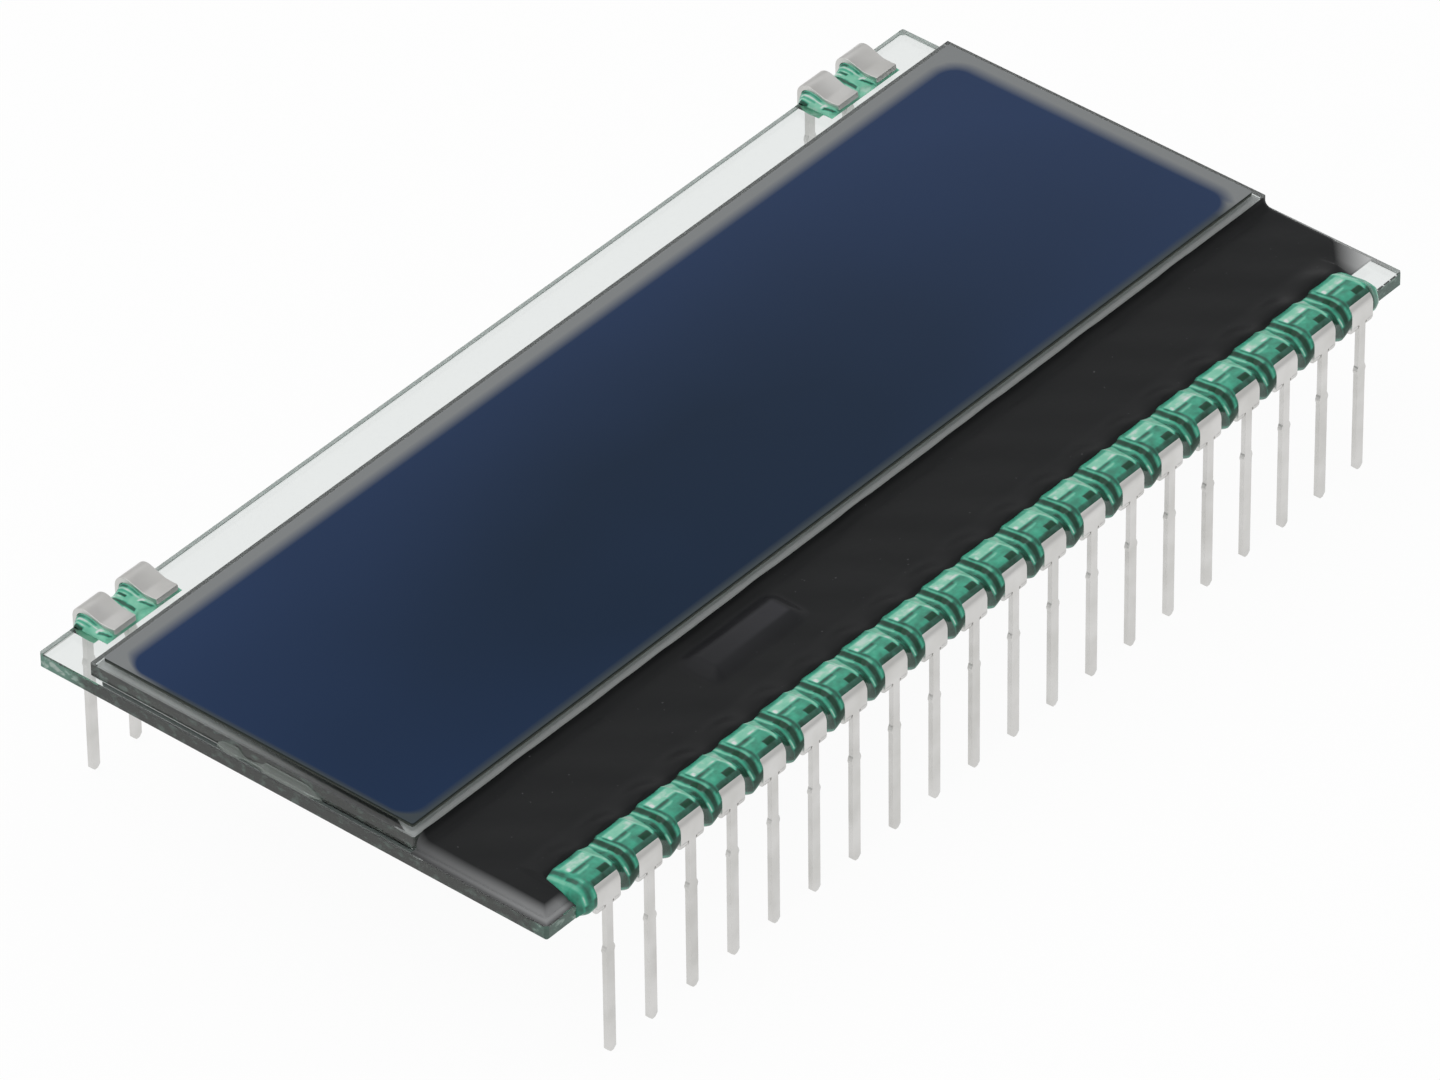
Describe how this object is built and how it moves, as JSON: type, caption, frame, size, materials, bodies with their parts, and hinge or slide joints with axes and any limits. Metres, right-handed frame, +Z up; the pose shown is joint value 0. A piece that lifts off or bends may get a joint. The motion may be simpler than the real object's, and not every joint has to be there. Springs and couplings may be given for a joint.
{
  "type": "character lcd module",
  "caption": "Bare chip-on-glass liquid crystal character display: glass cell on two rows of straight through-hole clip terminals, with a black-coated driver ledge.",
  "frame": {"origin": "on the ground plane at the terminal tips, under the middle of the carrier glass", "axes": "+X along the terminal rows, +Y from the fully populated front row to the rear row, +Z up out of the display face"},
  "size_m": [0.0548, 0.0278, 0.0092],
  "materials": {
    "carrier_glass": "polished",
    "front_glass": "polished",
    "cell_sealant": "cured epoxy",
    "liquid_crystal": "dark blue negative cell",
    "end_seal_resin": "cured clear resin",
    "front_polarizer": "smooth film",
    "rear_polarizer": "smooth film",
    "silicon_die": "polished die",
    "bonding_film": "cured film",
    "black_coating": "satin silicone",
    "terminal_adhesive": "cured translucent resin",
    "plated_terminal": "satin tin plate"
  },
  "bodies": {
    "root": {"carrier_glass": "carrier_glass", "front_glass": "front_glass", "perimeter_seal": "cell_sealant", "liquid_crystal": "liquid_crystal", "end_seal": "end_seal_resin", "front_polarizer": "front_polarizer", "rear_polarizer": "rear_polarizer", "driver_chip": "silicon_die", "chip_bond_film": "bonding_film", "ledge_coating": "black_coating", "front_adhesive": "terminal_adhesive", "rear_adhesive_left": "terminal_adhesive", "rear_adhesive_right": "terminal_adhesive", "pin_01": "plated_terminal", "pin_02": "plated_terminal", "pin_19": "plated_terminal", "pin_20": "plated_terminal", "pin_40": "plated_terminal", "pin_39": "plated_terminal", "pin_38": "plated_terminal", "pin_37": "plated_terminal", "pin_36": "plated_terminal", "pin_35": "plated_terminal", "pin_34": "plated_terminal", "pin_33": "plated_terminal", "pin_32": "plated_terminal", "pin_31": "plated_terminal", "pin_30": "plated_terminal", "pin_29": "plated_terminal", "pin_28": "plated_terminal", "pin_27": "plated_terminal", "pin_26": "plated_terminal", "pin_25": "plated_terminal", "pin_24": "plated_terminal", "pin_23": "plated_terminal", "pin_22": "plated_terminal", "pin_21": "plated_terminal"}
  },
  "joints": []
}
